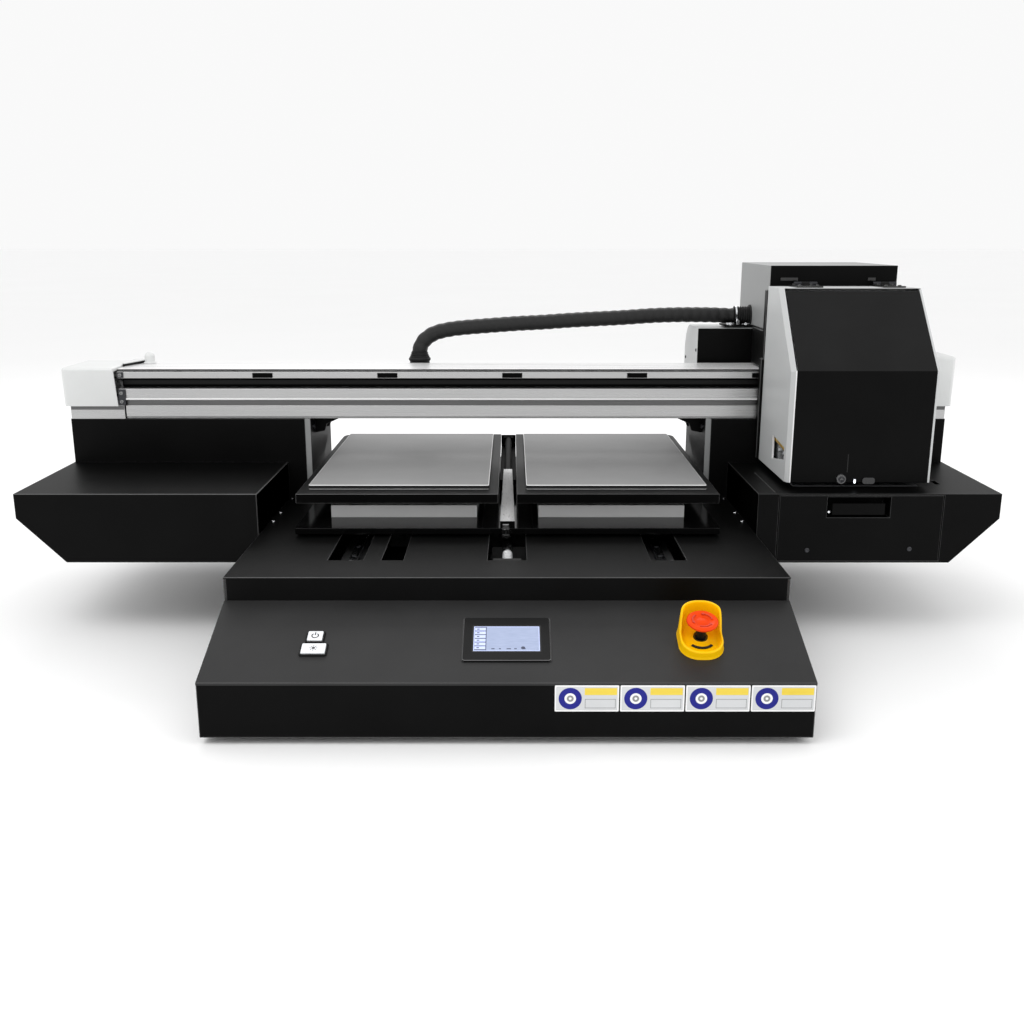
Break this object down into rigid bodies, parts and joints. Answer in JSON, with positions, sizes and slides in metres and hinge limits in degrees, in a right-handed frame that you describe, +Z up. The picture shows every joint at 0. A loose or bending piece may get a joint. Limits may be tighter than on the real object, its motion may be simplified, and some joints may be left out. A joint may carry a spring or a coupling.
{
  "type": "flatbed printer",
  "caption": "Wide flatbed printer with a low base, a gantry beam, a print carriage on it and a table with two lifting platens that slides under the beam.",
  "frame": {"origin": "on the floor, at the centre of the machine's outline", "axes": "+X to the machine's right as the operator faces it, +Y from the operator to the back, +Z up"},
  "size_m": [1.872, 1.2016, 0.7],
  "materials": {
    "black_sheet": "satin powder coat, fine orange peel",
    "console_sheet": "satin powder coat, fine orange peel",
    "silver_sheet": "satin silver paint",
    "frame_paint": "grey paint on welded tube",
    "white_plastic": "satin moulded plastic",
    "black_plastic": "satin",
    "aluminium": "drawn and brushed along its length",
    "table_black": "semi-gloss black anodise",
    "tray_black": "black anodised, satin",
    "pad_grey": "fine matt silicone pad",
    "steel_bright": "ground",
    "steel_dark": "black oxide",
    "rubber": "matt",
    "belt": "matt, toothed",
    "board": "printed board",
    "tin_plate": "plated sheet",
    "screen": "backlit display",
    "button_white": "gloss",
    "stop_yellow": "gloss",
    "stop_red": "gloss",
    "label": null,
    "bottle": "translucent natural",
    "head_grey": "moulded",
    "hose_sleeve": "braided sleeve"
  },
  "bodies": {
    "frame": {"base_housing": "black_sheet", "rear_panel": "black_sheet", "console_panel": "console_sheet", "deck_cover": "black_sheet", "base_frame": "frame_paint", "rubber_feet": "rubber", "power_supply": "tin_plate", "control_board": "board", "rear_fan": "black_plastic", "power_inlet": "black_plastic", "left_shelf": "black_sheet", "right_shelf": "black_sheet", "drawer_runners": "tin_plate", "support_covers": "black_sheet", "side_plates": "silver_sheet", "beam_brackets": "black_sheet", "beam": "aluminium", "beam_top_cover": "aluminium", "beam_rail": "steel_dark", "beam_clips": "black_plastic", "end_blocks": "aluminium", "end_cap_left": "white_plastic", "end_cap_right": "white_plastic", "tension_knob": "white_plastic", "x_motor": "black_plastic", "x_belt": "belt", "rear_cover": "silver_sheet", "hose_stand": "black_plastic", "y_rails": "steel_bright", "screw_bearings": "steel_dark", "y_motor": "black_plastic", "touchscreen": "black_plastic", "screen_glass": "screen", "button_rims": "black_plastic", "stop_shroud": "stop_yellow", "label_plates": "label", "capping_station": "head_grey", "hose": "hose_sleeve"},
    "table": {"table": "table_black", "guide_blocks": "aluminium", "centre_bar": "aluminium"},
    "platen_left": {"platen_left": "tray_black", "pads_left": "pad_grey"},
    "platen_right": {"platen_right": "tray_black", "pads_right": "pad_grey"},
    "drive_screw": {"drive_screw": "steel_bright"},
    "carriage": {"carriage_frame": "black_sheet", "print_heads": "head_grey", "ink_box": "silver_sheet", "hood_hinges": "steel_dark"},
    "hood": {"hood_shell": "silver_sheet", "hood_panel": "black_sheet"},
    "drive_pulley": {"x_drive_pulley": "aluminium"},
    "idler_pulley": {"x_idler_pulley": "aluminium"},
    "drawer": {"drawer": "black_sheet", "waste_bottle": "bottle"},
    "power_button": {"power_button": "button_white"},
    "light_button": {"light_button": "button_white"},
    "stop_stem": {"stop_stem": "black_plastic"},
    "stop_head": {"stop_head": "stop_red"}
  },
  "joints": [
    {"name": "table_slide", "type": "slide", "parent": "frame", "child": "table", "axis": [0, 1, 0], "range_m": [-0.385, 0.06]},
    {"name": "screw_spin", "type": "hinge", "parent": "frame", "child": "drive_screw", "pos_m": [0, 0.1, 0.19], "axis": [0, 1, 0], "continuous": true},
    {"name": "platen_left_lift", "type": "slide", "parent": "table", "child": "platen_left", "axis": [0, 0, 1], "range_m": [0, 0.006]},
    {"name": "platen_right_lift", "type": "slide", "parent": "table", "child": "platen_right", "axis": [0, 0, 1], "range_m": [0, 0.006]},
    {"name": "carriage_slide", "type": "slide", "parent": "frame", "child": "carriage", "axis": [-1, 0, 0], "range_m": [0, 1.28], "deforming": ["hose"]},
    {"name": "drive_pulley_spin", "type": "hinge", "parent": "frame", "child": "drive_pulley", "pos_m": [0.868, 0.255, 0.438], "axis": [0, 1, 0], "continuous": true},
    {"name": "idler_pulley_spin", "type": "hinge", "parent": "frame", "child": "idler_pulley", "pos_m": [-0.868, 0.255, 0.438], "axis": [0, 1, 0], "continuous": true},
    {"name": "hood_hinge", "type": "hinge", "parent": "carriage", "child": "hood", "pos_m": [0.672, 0.148, 0.664], "axis": [-1, 0, 0], "range_deg": [0, 80]},
    {"name": "drawer_slide", "type": "slide", "parent": "frame", "child": "drawer", "axis": [0, -1, 0], "range_m": [0, 0.26]},
    {"name": "power_button_press", "type": "slide", "parent": "frame", "child": "power_button", "axis": [0, 0.3355, -0.9421], "range_m": [0, 0.002], "stiffness_N_per_m": 600},
    {"name": "light_button_press", "type": "slide", "parent": "frame", "child": "light_button", "axis": [0, 0.3355, -0.9421], "range_m": [0, 0.002], "stiffness_N_per_m": 600},
    {"name": "stop_press", "type": "slide", "parent": "frame", "child": "stop_stem", "axis": [0, 0.3355, -0.9421], "range_m": [0, 0.006], "stiffness_N_per_m": 900},
    {"name": "stop_twist", "type": "hinge", "parent": "stop_stem", "child": "stop_head", "pos_m": [0.307, -0.52298, 0.17289], "axis": [0, 0.3355, -0.9421], "range_deg": [0, 45], "stiffness_Nm_per_rad": 0.4}
  ],
  "couplings": [
    {"joint": "screw_spin", "follows": "table_slide", "rad_per_m": 314.16},
    {"joint": "drive_pulley_spin", "follows": "carriage_slide", "rad_per_m": -55.556},
    {"joint": "idler_pulley_spin", "follows": "carriage_slide", "rad_per_m": -55.556}
  ]
}
